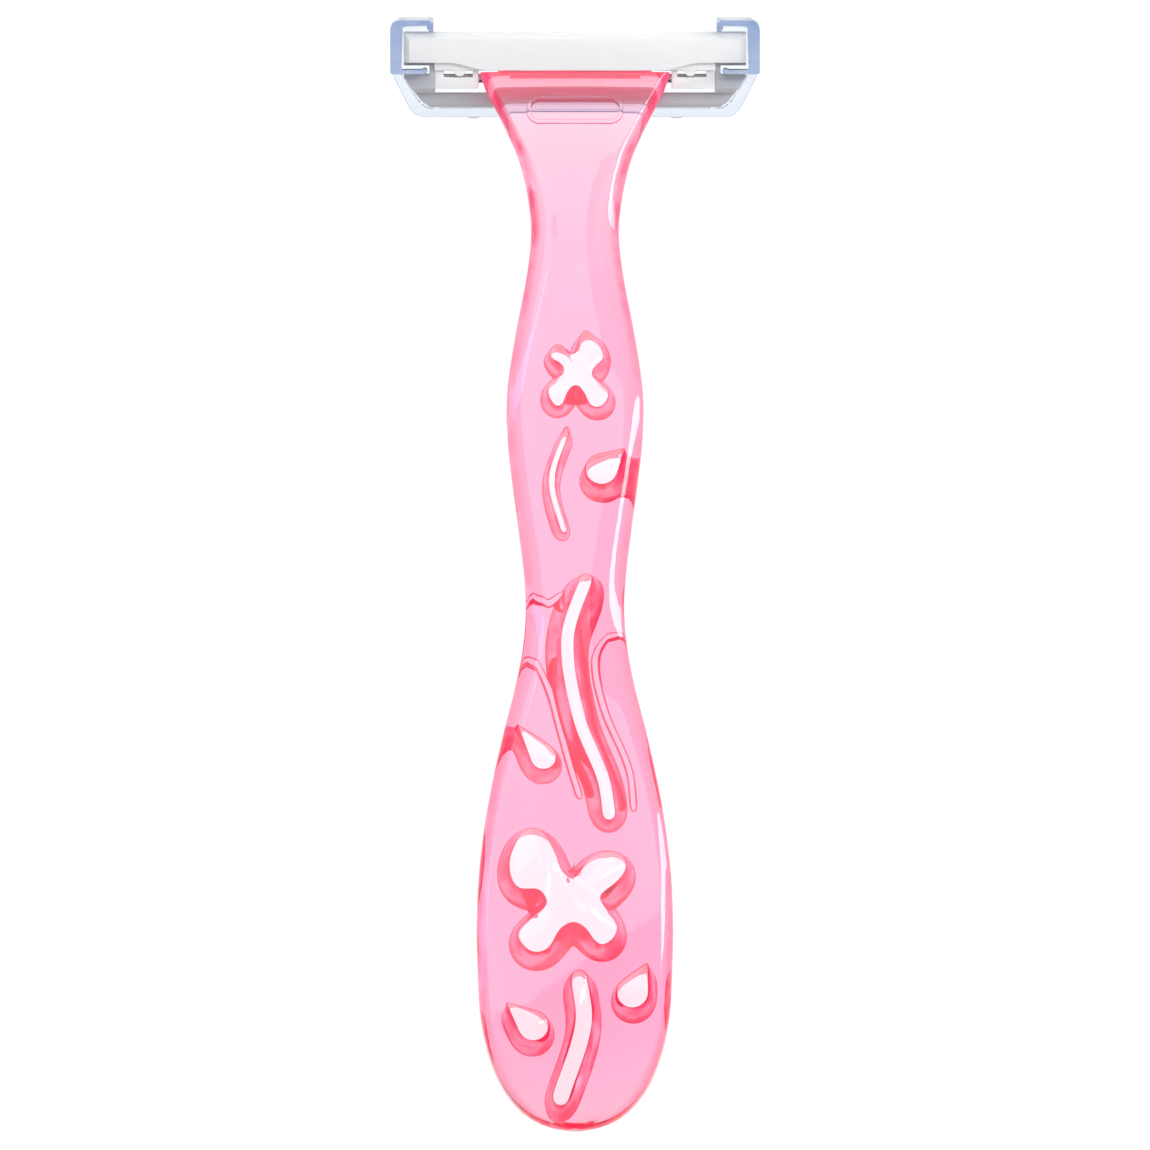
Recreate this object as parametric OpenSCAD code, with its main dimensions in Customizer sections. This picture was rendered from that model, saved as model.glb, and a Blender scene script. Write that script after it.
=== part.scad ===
// Three-blade razor with a moulded handle, a fixed head and a clear push-on cover.
// It lies back up: X is the width, +Y runs from the handle's end to the head, +Z is the back.
// The origin is under the middle of the whole razor, on the surface it lies on.

/* [Head] */
// Length of the white head from end to end
head_len = 42.2; // [41.8:0.1:42.8]
// Angle between the shaving plane and the lengthwise axis
head_tilt = 20; // [18:1:22]
// Distance from one blade edge to the next
blade_pitch = 1.5; // [1.45:0.05:1.5]

/* [Handle] */
// Thickness of plastic left at the bottom of each motif pocket
floor_t = 1.3; // [1:0.1:2]
// Extra width of the bevel along the edge of the handle's back
bevel_extra = 0; // [-0.2:0.1:0.4]

/* [Cover] */
// Wall thickness of the clear cover
cover_t = 1; // [0.8:0.1:1.1]

/* [Hidden] */
$fn = 48;
eps = 0.01;

// Handle outline: [lengthwise place, half width], from the palm to the flare.
half_length = 70;
palm_y = -50;
end_ring = 4;
tip_y = palm_y - (half_length + palm_y) / cos(end_ring);
palm_hw = 11.8;
tip_power = 2.3;
flare_y = 63.6;
WIDTHS = [
  [-50, 11.8], [-46, 11.9], [-40, 11.7], [-34, 11.1], [-28, 10.1], [-21.6, 8.7], [-15.5, 7.2], [-10.8, 6.35],
  [-6, 6], [-1, 6.3], [4, 6.9], [10, 7.7], [15, 8.25], [19, 8.4], [22.5, 8.2], [28.5, 7.3], [35, 6.1],
  [38.5, 5.6], [41.5, 5.4], [44.5, 5.6], [47.5, 6.1], [51, 7], [54, 8.3], [57, 9.8], [59.5, 11.1],
  [61.5, 11.65], [63.6, 11.75]
];
// Handle side view: [lengthwise place, height of the back, height of the front].
BACKS = [[-70, 4.4], [-68.5, 5.6], [-65, 6.6], [-58, 7.5], [-45, 8.2], [-25, 8.6], [0, 8.9], [25, 9.2],
         [45, 9.3], [56, 9.6], [63.6, 10]];
FRONTS = [[-70, 2.4], [-68.5, 1.2], [-65, 0.4], [-57, 0], [-45, 0.2], [-25, 0.9], [0, 1.6], [20, 2],
          [36, 2.8], [48, 4.2], [56, 5.7], [60, 7.1], [63.6, 8.6]];
// Width of the bevel along the back's edges: broad at the two waists, narrow at the ends.
BEVELS = [[-70, 0.7], [-40, 0.7], [-27, 1], [-14, 1.7], [-6, 1.8], [6, 1.5], [26, 1.5], [41.5, 1.6],
          [53.5, 0.8], [63.6, 0.6]];
crown = 0.35;
bevel_d = 1.1;
station_step = 2.5;
arc_steps = 16;

// Outlines of the two four-petal flowers, from the top notch round by the right.
PALM_FLOWER = [
  [0, -39.6], [1.6, -37.4], [3.6, -36.4], [5.6, -36.9], [6.2, -38.6], [5, -40.3],
  [3.1, -42], [4, -43.8], [5.1, -45.5], [4.7, -47.1], [3.3, -48], [2.2, -47.3], [1.3, -46],
  [-0.2, -45.2], [-1.8, -46.1], [-3.1, -48.3], [-4.8, -48.9], [-6.2, -48.1], [-6.9, -46.6], [-5.9, -45.1],
  [-3.5, -43], [-4.4, -41.2], [-6.6, -41.1], [-7.7, -39.8], [-7.9, -37.3], [-6.7, -34.4], [-5.3, -33.5],
  [-3.7, -34.2], [-2.4, -36.4], [-1.5, -38.8]
];
NECK_FLOWER = [
  [-0.4, 25.6], [0.4, 26.4], [0.6, 27.8], [1.1, 28.8], [1.9, 28.4], [2.8, 27.2], [3.4, 26], [3.4, 24.9],
  [2.6, 24.2], [2.1, 23.1], [3, 22.1], [4, 21.4], [4, 20], [3, 18.9], [1.8, 19.2], [1.1, 20.7],
  [0.1, 21.7], [-0.9, 20.8], [-1.4, 19.4], [-2.3, 19], [-3.2, 20.3], [-3.3, 21.7], [-2.4, 22.5],
  [-1.4, 23.4], [-1.8, 24.5], [-2.8, 25], [-3.1, 26], [-2.3, 27], [-1.4, 26.7], [-0.9, 25.9]
];

// Head, in its own frame: x along the blades, y from the guard to the cap, z from the skin to the back.
half = head_len / 2;
window_x = half - 3.8;
guard_v = -4.85;
cap_v = 4.45;
cap_front_v = 2.35;
cap_u = 5.5;
cap_wall = 1.2;
frame_u = 3.4;
base_u = 4.25;
rail_v = [-2.4, -1];
edge_v = -0.4;
blade_tilt = 22;
blade_w = 1.15;
blade_t = 0.1;
leg_v = 0.75;
leg_t = 0.28;
leg_u = 2.6;
finger_t = 0.35;
finger_x = [11, window_x - 0.6];
blade_len = 2 * window_x - 0.2;
support_len = 2 * window_x + 0.6;
slot_x = window_x + 0.45;
slot_u = leg_u + 0.5;
first_edge = -1.9;
guard_back = -3.1;
guard_seat = 1.1;
strip_len = 35.4;
strip_seat = 0.6;
fins = 3;
fin_pitch = 0.32;
band_v = -0.1;
band_end_v = 0.85;
band_step_u = 4.85;
sweep_x = [10.6, 15.6];
cap_chamfer = 1;
hook_mid = 14.2;
hook_r = 0.75;
tongue = [16, 2.3, 0.7];
tongue_u = 3.3;
socket_w = 19;
socket_wall = 0.25;
post_x = [11.9, 12.6];
base_leg = 1.1;
lug_v = 1.2;
slip = 0.03;
fit = 0.02;

// Oval pad on the flare.
pad_y = 56.3;
pad_len = 12;
pad_w = 3.4;
pad_h = 0.6;
pad_slope = 2.4;

// Cover, in the head's frame.
cover_x = 22.75;
cover_v = [-6.1, 6.1];
plate_u = [-2.8, -1.7];
tower_v = [-0.55, 6.1];
tower_u = 6.3;
end_wall = 1.4;
tower_x = 17.5;
middle_v = 4;
guard_wall_u = 1.4;
rib_x = 18.65;
hook_x = 18.05;
hook_u = 4.45;
knob_r = 0.5;
notch_x = hook_x - 0.1;

// The head sits so that the cover's lowest edge is on the surface and its far edge ends the length.
head_z = -cover_v[0] * sin(head_tilt) - plate_u[0] * cos(head_tilt);
head_y = half_length - cover_v[1] * cos(head_tilt) + plate_u[0] * sin(head_tilt);

// Smooth curve through hand-picked points k = [[t, value], ...].
function seg(t, k, i = 0) = (i >= len(k) - 2 || t <= k[i + 1][0]) ? i : seg(t, k, i + 1);
function slope(k, i) =
  let (a = max(i - 1, 0), b = min(i + 1, len(k) - 1)) (k[b][1] - k[a][1]) / (k[b][0] - k[a][0]);
function curve(t, k) =
  let (i = seg(t, k), d = k[i + 1][0] - k[i][0], s = (t - k[i][0]) / d)
  (2 * s ^ 3 - 3 * s ^ 2 + 1) * k[i][1] + (s ^ 3 - 2 * s ^ 2 + s) * d * slope(k, i)
  + (3 * s ^ 2 - 2 * s ^ 3) * k[i + 1][1] + (s ^ 3 - s ^ 2) * d * slope(k, i + 1);

// Half width of the handle: a rounded end up to the palm, then the curve.
function half_width(y) =
  y < palm_y
  ? palm_hw * (1 - ((palm_y - y) / (palm_y - tip_y)) ^ tip_power) ^ (1 / tip_power)
  : curve(y, WIDTHS);

// One cross-section of the handle, bevelled at its edges and slightly crowned on the back.
function section(y) =
  let (h = half_width(y), b = min(curve(y, BEVELS) + bevel_extra, 0.4 * h), top = curve(y, BACKS), low = curve(y, FRONTS),
       d = min(bevel_d, 0.3 * (top - low)))
  [[0, y, top], [h - b, y, top - crown], [h, y, top - crown - d], [h, y, low + d], [h - b, y, low],
   [b - h, y, low], [-h, y, low + d], [-h, y, top - crown - d], [b - h, y, top - crown]];

STATIONS = concat(
  [for (a = [end_ring : 8 : 76]) palm_y - (palm_y - tip_y) * cos(a)],
  [for (y = [palm_y : station_step : flare_y - 1]) y],
  [flare_y]
);

module handle_body() {
  n = 9;
  last = len(STATIONS) - 1;
  points = [for (y = STATIONS) each section(y)];
  sides = [for (i = [0 : last - 1], j = [0 : n - 1], side = [0, 1])
    let (a = i * n + j, b = i * n + (j + 1) % n)
    side == 0 ? [a, b + n, b] : [a, a + n, b + n]];
  ends = [[for (j = [0 : n - 1]) j], [for (j = [n - 1 : -1 : 0]) last * n + j]];
  polyhedron(points, concat(sides, ends), convexity = 6);
}

// A teardrop leaf with a round end and a tip.
module leaf(centre, r, tip) {
  reach = norm(tip - centre);
  along = atan2(tip[1] - centre[1], tip[0] - centre[0]);
  open = acos(r / reach);
  turn = 2 * (180 - open);
  polygon(concat([for (n = [0 : arc_steps]) let (a = along + open + turn * n / arc_steps)
                    centre + r * [cos(a), sin(a)]],
                 [tip]));
}

// A curved stem of constant width with round ends, through points listed by falling y.
module stem(path, w) {
  xs = [for (i = [len(path) - 1 : -1 : 0]) [path[i][1], path[i][0]]];
  low = xs[0][0];
  high = xs[len(xs) - 1][0];
  steps = 14;
  line = [for (i = [0 : steps]) let (y = low + (high - low) * i / steps) [curve(y, xs), y]];
  side = [for (i = [0 : steps])
    let (a = line[max(i - 1, 0)], b = line[min(i + 1, steps)], d = (b - a) / norm(b - a))
    [d[1], -d[0]] * w / 2];
  polygon(concat([for (i = [0 : steps]) line[i] + side[i]],
                 round_end(line[steps], side[steps]),
                 [for (i = [steps : -1 : 0]) line[i] - side[i]],
                 round_end(line[0], -side[0])));
}

// Points of a half turn anticlockwise from one side, without its two ends.
function round_end(centre, side) =
  [for (a = [30 : 30 : 150])
    centre + [side[0] * cos(a) - side[1] * sin(a), side[0] * sin(a) + side[1] * cos(a)]];

// A closed smooth outline through hand-picked points.
module smooth_outline(k, steps = 3) {
  n = len(k);
  polygon([for (i = [0 : n - 1], j = [0 : steps - 1])
    let (a = k[(i + n - 1) % n], b = k[i], c = k[(i + 1) % n], d = k[(i + 2) % n], s = j / steps)
    (2 * b + (c - a) * s + (2 * a - 5 * b + 4 * c - d) * s ^ 2 + (3 * b - a - 3 * c + d) * s ^ 3) / 2]);
}

module motifs() {
  smooth_outline(PALM_FLOWER);
  smooth_outline(NECK_FLOWER);
  leaf([3.2, 11.2], 2, [6.1, 13.9]);
  leaf([-3.8, -24.8], 1.6, [-7, -20.6]);
  leaf([6.9, -53.7], 1.95, [8.8, -49.9]);
  leaf([-5, -57.7], 1.9, [-8.4, -54.8]);
  stem([[-1, 16.2], [-2.8, 9.9], [-1.3, 3.5]], 0.9);
  stem([[1.3, -2.6], [-0.9, -10.2], [0.5, -20], [3.4, -27.5], [4.1, -31.9]], 1.62);
  stem([[0.5, -51.9], [1, -57.7], [-1.7, -66.2]], 2.1);
}

// Space under the pocket floors: everything lower than the back by the floor's thickness.
module below_floors() {
  side_view = concat(
    [for (y = [-69 : 3 : 33]) [y, curve(y, BACKS) - crown - floor_t]],
    [[33, -1], [-69, -1]]);
  rotate([90, 0, 90]) linear_extrude(30, center = true) polygon(side_view);
}

// Puts its children, drawn in the head's frame, in place.
module at_head() {
  translate([0, head_y, head_z]) rotate([head_tilt, 0, 0]) children();
}

// A bar along X from a closed outline of [y, z] points in the head's frame.
module bar(x0, x1, outline) {
  translate([x0, 0, 0]) rotate([90, 0, 90]) linear_extrude(x1 - x0) polygon(outline);
}

module block(lo, hi) {
  translate(lo) cube(hi - lo);
}

module both_ends() {
  children();
  mirror([1, 0, 0]) children();
}

module handle() {
  color("hotpink") {
    difference() {
      handle_body();
      intersection() {
        linear_extrude(12) motifs();
        below_floors();
      }
      at_head() socket_flat();
    }
    at_head() tongue_shape(0);
    logo_pad();
  }
}

// The flare's end is cut flat against the back of the head, level with the tongue's root.
module socket_flat() {
  block([-half, edge_v, -cap_u], [half, cap_v, 2 * cap_u]);
}

// The tongue that plugs the handle into the head; gap widens it for its slot.
module tongue_shape(gap) {
  block([-tongue[0] / 2 - gap, edge_v - 1 - gap, tongue_u - gap],
        [tongue[0] / 2 + gap, edge_v + tongue[1] + gap, tongue_u + tongue[2] + gap]);
}

// A plain oval pad on the back of the flare.
module logo_pad() {
  translate([0, pad_y, curve(pad_y, BACKS) - crown]) rotate([pad_slope, 0, 0])
    linear_extrude(pad_h) {
      square([pad_len - pad_w, pad_w], center = true);
      for (side = [-1, 1]) translate([side * (pad_len - pad_w) / 2, 0]) circle(pad_w / 2);
    }
}

// Rear platform: rail, legs, end lugs and the socket for the handle's tongue.
module head_base() {
  color("white") at_head() difference() {
    union() {
      block([-socket_w / 2, edge_v + fit, tongue_u - socket_wall], [socket_w / 2, cap_front_v - fit, base_u]);
      block([-window_x + 1, lug_v, frame_u], [window_x - 1, cap_front_v - fit, base_u]);
      both_ends() {
        block([post_x[0], rail_v[0], frame_u], [window_x - fit, rail_v[1], base_u]);
        block([post_x[0], rail_v[0], frame_u], [post_x[1], cap_front_v - fit, base_u]);
        block([window_x - base_leg, rail_v[0], frame_u], [window_x - fit, cap_front_v - fit, base_u]);
        block([window_x - base_leg, lug_v, frame_u], [half - 0.5, cap_front_v - fit, base_u]);
      }
    }
    tongue_shape(slip);
  }
}

// The cover's snap hooks pass through this notch in each end of the frame.
module notch() {
  block([notch_x, tower_v[0] - 0.2, -1], [half + 1, tower_v[0] + 1, cap_u - cap_wall]);
}

// Front frame: the guard bar and the two end blocks that hold the blades.
module front_frame() {
  color("darkgray") at_head() difference() {
    intersection() {
      frame_solid();
      translate([0, 0, -1]) linear_extrude(cap_u) frame_outline();
    }
    block([-strip_len / 2, guard_v + 0.4, -1], [strip_len / 2, guard_back - 0.35, guard_seat]);
    both_ends() {
      notch();
      for (i = [0 : 2]) {
        v = blade_edge(i);
        block([window_x - 1, v + leg_v - slip, -1], [slot_x, v + leg_v + leg_t + slip, slot_u]);
        bar(window_x - 1, slot_x, [[v - 0.2, -1], [v + 1.2, -1], [v + 1.2, 1.2], [v + 0.75, 1.2], [v - 0.2, 0.65]]);
      }
    }
  }
}

module frame_solid() {
  bar(-half, half, [[guard_v, 0.9], [guard_v + 0.7, 0.1], [guard_back, 0.1], [guard_back, 2.2],
                    [guard_v + 0.5, 2.2], [guard_v, 1.7]]);
  both_ends() {
    bar(window_x, half, [[guard_back - eps, 0.1], [cap_front_v - fit, 0.1], [cap_front_v - fit, frame_u],
                         [lug_v - fit, frame_u], [lug_v - fit, base_u], [rail_v[0], base_u],
                         [guard_back - eps, 2.2]]);
  }
}

// The frame narrows towards the guard, inside the cover's slanting ends.
module frame_outline() {
  corner = [[half, cap_v], [half, -0.9], [half - 1.3, -3], [half - 2.2, -4.1], [half - 3.2, guard_v]];
  polygon(concat(corner, [for (i = [4 : -1 : 0]) [-corner[i][0], corner[i][1]]]));
}

// Cap: the white band round the far edge and the back, with two snap hooks under its lower edge.
module head_cap() {
  color("whitesmoke") at_head() difference() {
    union() {
      intersection() {
        bar(-half, half, [[cap_front_v, 0], [cap_v - 0.5, -0.2], [cap_v, 0.3], [cap_v, cap_u - 0.7],
                          [cap_v - 0.7, cap_u], [band_v, cap_u], [band_v, base_u], [cap_front_v, base_u]]);
        union() {
          translate([0, 0, band_step_u]) linear_extrude(cap_u) band_outline();
          block([-window_x, band_v - 1, -1], [window_x, cap_v + 1, band_step_u]);
          block([-half, band_end_v, -1], [half, cap_v + 1, band_step_u]);
        }
      }
      both_ends() translate([hook_mid, band_v, base_u]) {
        cylinder(r = hook_r, h = band_step_u - base_u - 0.1);
      }
    }
    block([-strip_len / 2, cap_front_v + 0.3, -1], [strip_len / 2, cap_v - 0.3, strip_seat]);
    both_ends() translate([half, 0, cap_u]) rotate([0, 45, 0]) cube([cap_chamfer, 4 * cap_v, cap_chamfer], center = true);
  }
}

// The band's lower edge sweeps down from the narrow ends to the full width at the handle.
module band_outline() {
  steps = 6;
  right = [for (i = [0 : steps])
    let (s = i / steps)
    [sweep_x[1] + (sweep_x[0] - sweep_x[1]) * s, band_end_v + (band_v - band_end_v) * (3 * s ^ 2 - 2 * s ^ 3)]];
  polygon(concat([[half, cap_v + 1], [half, band_end_v]], right,
                 [for (i = [steps : -1 : 0]) [-right[i][0], right[i][1]]],
                 [[-half, band_end_v], [-half, cap_v + 1]]));
}

module lubricating_strip() {
  color("palegreen") at_head()
    bar(-strip_len / 2, strip_len / 2,
        [[cap_front_v + 0.3, strip_seat], [cap_front_v + 0.3, -0.25], [cap_front_v + 0.6, -0.4],
         [cap_v - 0.6, -0.45], [cap_v - 0.3, -0.3], [cap_v - 0.3, strip_seat]]);
}

// Rubber guard: a pad with a row of fins that stretches the skin.
module guard_strip() {
  color("mediumpurple") at_head() {
    block([-strip_len / 2, guard_v + 0.4, 0.45], [strip_len / 2, guard_back - 0.35, guard_seat]);
    for (i = [0 : fins - 1]) {
      v = guard_v + 0.5 + i * fin_pitch;
      bar(-strip_len / 2 + 0.2, strip_len / 2 - 0.2,
          [[v, 0.45 + eps], [v + 0.05, 0], [v + 0.2, 0], [v + 0.25, 0.45 + eps]]);
    }
  }
}

function blade_edge(i) = first_edge + i * blade_pitch;

// A blade lies on the sloping shelf of its support, its edge towards the guard.
module blade(i) {
  color("silver") at_head() translate([0, blade_edge(i), 0]) rotate([blade_tilt, 0, 0])
    bar(-blade_len / 2, blade_len / 2,
        [[0, blade_t * 0.45], [0.25, 0], [blade_w, 0], [blade_w, blade_t], [0.25, blade_t]]);
}

// Bent steel support: a sloping shelf under the blade and a leg into the head.
module blade_support(i) {
  run = tan(blade_tilt);
  drop = blade_t / cos(blade_tilt);
  color("slategray") at_head() translate([0, blade_edge(i), 0])
    bar(-support_len / 2, support_len / 2,
        [[0.29, 0.29 * run + drop], [leg_v + leg_t, (leg_v + leg_t) * run + drop], [leg_v + leg_t, leg_u],
         [leg_v, leg_u], [leg_v, leg_v * run + drop + 0.25], [0.2, 0.2 * run + drop + 0.25]]);
}

// The pair of moulded fingers that press a blade towards the skin, one at each end.
module spring_fingers(i) {
  v = blade_edge(i) + leg_v + leg_t / 2;
  color("gainsboro") at_head() both_ends()
    bar(finger_x[0], finger_x[1],
        [[v - 0.35, leg_u], [v + 0.35, leg_u], [v + 0.35, leg_u + finger_t], [v - 0.35, leg_u + finger_t]]);
}

// Outline of the cover seen from the face, wide at the cap and narrower at the guard.
module cover_outline(inset) {
  x = cover_x - inset;
  low = cover_v[0] + inset;
  high = tower_v[1] - inset;
  square_part = [[x, high], [x, -0.5], [x - 2.35, low + 0.9], [x - 3.45, low]];
  polygon(concat(square_part, [for (i = [3 : -1 : 0]) [-square_part[i][0], square_part[i][1]]]));
}

// Clear cover: a tray over the blades with a C-shaped tower and snap hook at each end.
module cover() {
  color("lightskyblue", 0.4) at_head() {
    difference() {
      translate([0, 0, plate_u[0]]) linear_extrude(guard_wall_u - plate_u[0]) cover_outline(0);
      translate([0, 0, plate_u[1]]) linear_extrude(guard_wall_u - plate_u[1] + 1) cover_outline(cover_t);
      block([-tower_x, middle_v, plate_u[0] - 1], [tower_x, cover_v[1] + 1, guard_wall_u + 1]);
    }
    both_ends() {
      tower();
      block([rib_x, -4.6, plate_u[1] - eps], [rib_x + 0.5, -1.8, -0.2]);
      block([tower_x, -3.25, plate_u[1] - eps], [cover_x - 2.6, -2.95, -1.2]);
      block([16.7, cover_v[0] + cover_t - eps, plate_u[1] - eps], [17.5, cover_v[0] + cover_t + 0.4, 0]);
      block([11.9, cover_v[0] - 0.15, plate_u[0] + 1], [13.2, cover_v[0] + eps, guard_wall_u]);
    }
  }
}

module tower() {
  wall = tower_x - 0.1;
  block([cover_x - end_wall, tower_v[0], plate_u[0]], [cover_x, tower_v[1], tower_u]);
  block([wall, tower_v[1] - cover_t, plate_u[0]], [cover_x, tower_v[1], tower_u]);
  block([wall, tower_v[1] - cover_t - 0.45, tower_u - 1.2], [wall + 0.8, tower_v[1] - cover_t + eps, tower_u]);
  block([hook_x + knob_r, tower_v[0], hook_u], [cover_x - eps, tower_v[0] + 0.65, tower_u]);
  translate([hook_x + knob_r, tower_v[0] + 0.4, hook_u]) cylinder(r = knob_r, h = tower_u - hook_u);
}

handle();
head_base();
front_frame();
head_cap();
lubricating_strip();
guard_strip();
blade(0);  // blade_1
blade(1);  // blade_2
blade(2);  // blade_3
blade_support(0);  // blade_support_1
blade_support(1);  // blade_support_2
blade_support(2);  // blade_support_3
spring_fingers(0);  // spring_fingers_1
spring_fingers(1);  // spring_fingers_2
spring_fingers(2);  // spring_fingers_3
cover();
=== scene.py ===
import math

import bmesh
import bpy
from mathutils import Matrix, Vector


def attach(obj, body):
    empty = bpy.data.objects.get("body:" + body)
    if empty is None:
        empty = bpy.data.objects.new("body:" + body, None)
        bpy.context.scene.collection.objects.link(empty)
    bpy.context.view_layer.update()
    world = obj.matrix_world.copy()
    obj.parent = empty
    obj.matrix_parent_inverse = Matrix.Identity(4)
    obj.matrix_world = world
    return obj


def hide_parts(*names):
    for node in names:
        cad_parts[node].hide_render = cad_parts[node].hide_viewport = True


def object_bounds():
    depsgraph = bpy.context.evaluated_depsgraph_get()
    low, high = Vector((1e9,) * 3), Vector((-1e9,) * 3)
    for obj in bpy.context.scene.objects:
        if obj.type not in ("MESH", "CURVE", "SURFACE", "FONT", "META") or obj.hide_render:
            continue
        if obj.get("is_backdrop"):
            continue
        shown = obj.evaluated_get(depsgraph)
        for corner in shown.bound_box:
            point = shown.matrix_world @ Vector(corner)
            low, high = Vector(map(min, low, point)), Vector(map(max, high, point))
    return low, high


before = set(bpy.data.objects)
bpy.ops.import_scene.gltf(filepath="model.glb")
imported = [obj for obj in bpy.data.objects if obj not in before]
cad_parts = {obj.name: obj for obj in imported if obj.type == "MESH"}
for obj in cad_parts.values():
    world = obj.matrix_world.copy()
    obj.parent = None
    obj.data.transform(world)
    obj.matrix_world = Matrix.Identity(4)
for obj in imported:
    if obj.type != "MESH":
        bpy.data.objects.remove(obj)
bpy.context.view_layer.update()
MM = 0.001

# --- Handle -----------------------------------------------------------------------------------
# One injection moulding in clear pink plastic. The back is smooth, slightly crowned and bevelled along
# its edges; flowers, leaves and stems are drafted pockets that open on the front and leave a thin floor.


def curve(t, keys):
    """Smooth value at t through listed (place, value) pairs."""
    i = next((n for n in range(len(keys) - 2) if t <= keys[n + 1][0]), len(keys) - 2)

    def slope(n):
        a, b = max(n - 1, 0), min(n + 1, len(keys) - 1)
        return (keys[b][1] - keys[a][1]) / (keys[b][0] - keys[a][0])

    d = keys[i + 1][0] - keys[i][0]
    s = (t - keys[i][0]) / d
    return ((2 * s**3 - 3 * s**2 + 1) * keys[i][1] + (s**3 - 2 * s**2 + s) * d * slope(i)
            + (3 * s**2 - 2 * s**3) * keys[i + 1][1] + (s**3 - s**2) * d * slope(i + 1))


WIDTHS = [(-50, 11.8), (-46, 11.9), (-40, 11.7), (-34, 11.1), (-28, 10.1), (-21.6, 8.7), (-15.5, 7.2),
          (-10.8, 6.35), (-6, 6), (-1, 6.3), (4, 6.9), (10, 7.7), (15, 8.25), (19, 8.4), (22.5, 8.2),
          (28.5, 7.3), (35, 6.1), (38.5, 5.6), (41.5, 5.4), (44.5, 5.6), (47.5, 6.1), (51, 7), (54, 8.3),
          (57, 9.8), (59.5, 11.1), (61.5, 11.65), (63.6, 11.75)]
BACKS = [(-70, 4.4), (-68.5, 5.6), (-65, 6.6), (-58, 7.5), (-45, 8.2), (-25, 8.6), (0, 8.9), (25, 9.2),
         (45, 9.3), (56, 9.6), (63.6, 10)]
FRONTS = [(-70, 2.4), (-68.5, 1.2), (-65, 0.4), (-57, 0), (-45, 0.2), (-25, 0.9), (0, 1.6), (20, 2),
          (36, 2.8), (48, 4.2), (56, 5.7), (60, 7.1), (63.6, 8.6)]
BEVELS = [(-70, 0.7), (-40, 0.7), (-27, 1), (-14, 1.7), (-6, 1.8), (6, 1.5), (26, 1.5), (41.5, 1.6),
          (53.5, 0.8), (63.6, 0.6)]
CROWN = 0.35
BEVEL_DEPTH = 1.1
PALM_Y, TIP_Y, FLARE_Y = -50, -70.05, 63.6
PALM_HALF_WIDTH, TIP_POWER = 11.8, 2.3
EDGE_ROUND = 1.0
BACK_SPLITS = (-0.6, -0.3, 0, 0.3, 0.6)
FRONT_SPLITS = (0.5, 0, -0.5)


def half_width(y):
    """Half the handle's width: a rounded end, then the curve up to the flare."""
    if y < PALM_Y:
        rest = 1 - ((PALM_Y - y) / (PALM_Y - TIP_Y)) ** TIP_POWER
        return PALM_HALF_WIDTH * rest ** (1 / TIP_POWER)
    return curve(y, WIDTHS)


def soft_corner(before, corner, after, reach, steps=4):
    """A corner of an outline as a short curve between its two sides."""
    to_start, to_end = before - corner, after - corner
    start = corner + to_start.normalized() * min(reach, 0.45 * to_start.length)
    end = corner + to_end.normalized() * min(reach, 0.45 * to_end.length)
    return [start * (1 - s) ** 2 + corner * 2 * s * (1 - s) + end * s**2
            for s in (n / steps for n in range(steps + 1))]


def section(y):
    """Points round one cross-section of the handle."""
    h, top, low = half_width(y), curve(y, BACKS), curve(y, FRONTS)
    b, d = min(curve(y, BEVELS), 0.4 * h), min(BEVEL_DEPTH, 0.3 * (top - low))
    flat, edge = h - b, top - CROWN
    corners = [Vector(p) for p in ((-flat, edge), (flat, edge), (h, edge - d), (h, low + d),
                                   (flat, low), (-flat, low), (-h, low + d), (-h, edge - d))]
    ring = []
    for i, corner in enumerate(corners):
        ring += soft_corner(corners[i - 1], corner, corners[(i + 1) % len(corners)], EDGE_ROUND)
        if i == 0:
            ring += [Vector((flat * s, top - CROWN * s * s)) for s in BACK_SPLITS]
        if i == 4:
            ring += [Vector((flat * s, low)) for s in FRONT_SPLITS]
    return [Vector((p.x, y, p.y)) * MM for p in ring]


def loft(rings):
    """A closed solid through rings of equally many points: a grid rolled up, welded and capped."""
    around, along = len(rings[0]), len(rings) - 1
    bm = bmesh.new()
    bmesh.ops.create_grid(bm, x_segments=around, y_segments=along, size=1)
    for vert in bm.verts:
        i = round((vert.co.x + 1) / 2 * around) % around
        j = round((vert.co.y + 1) / 2 * along)
        vert.co = rings[j][i]
    bmesh.ops.remove_doubles(bm, verts=bm.verts, dist=MM / 1000)
    bmesh.ops.holes_fill(bm, edges=[e for e in bm.edges if e.is_boundary], sides=0)
    bmesh.ops.recalc_face_normals(bm, faces=bm.faces)
    return bm


def mesh_object(name, bm):
    """Turns a finished bmesh into an object at the origin."""
    mesh = bpy.data.meshes.new(name)
    bm.to_mesh(mesh)
    bm.free()
    piece = bpy.data.objects.new(name, mesh)
    bpy.context.scene.collection.objects.link(piece)
    return piece


def combine(piece, bm, operation):
    """Joins a closed bmesh to a piece, or cuts it away."""
    tool = mesh_object("tool", bm)
    boolean = piece.modifiers.new(operation, "BOOLEAN")
    boolean.operation = operation
    boolean.solver = "MANIFOLD"
    boolean.object = tool
    evaluated = piece.evaluated_get(bpy.context.evaluated_depsgraph_get())
    mesh = bpy.data.meshes.new_from_object(evaluated)
    piece.modifiers.clear()
    piece.data = mesh
    bpy.data.objects.remove(tool)


def smooth(piece, angle=30):
    """Shades a piece smooth, keeping edges sharper than the angle."""
    for face in piece.data.polygons:
        face.use_smooth = True
    piece.data.set_sharp_from_angle(angle=math.radians(angle))


def note_facing(piece):
    """Stores how far each face corner looks up: 1 at the back, 0 on upright walls, -1 at the front."""
    facing = piece.data.attributes.new("facing", "FLOAT", "CORNER")
    for normal, entry in zip(piece.data.corner_normals, facing.data):
        entry.value = normal.vector.z


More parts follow.
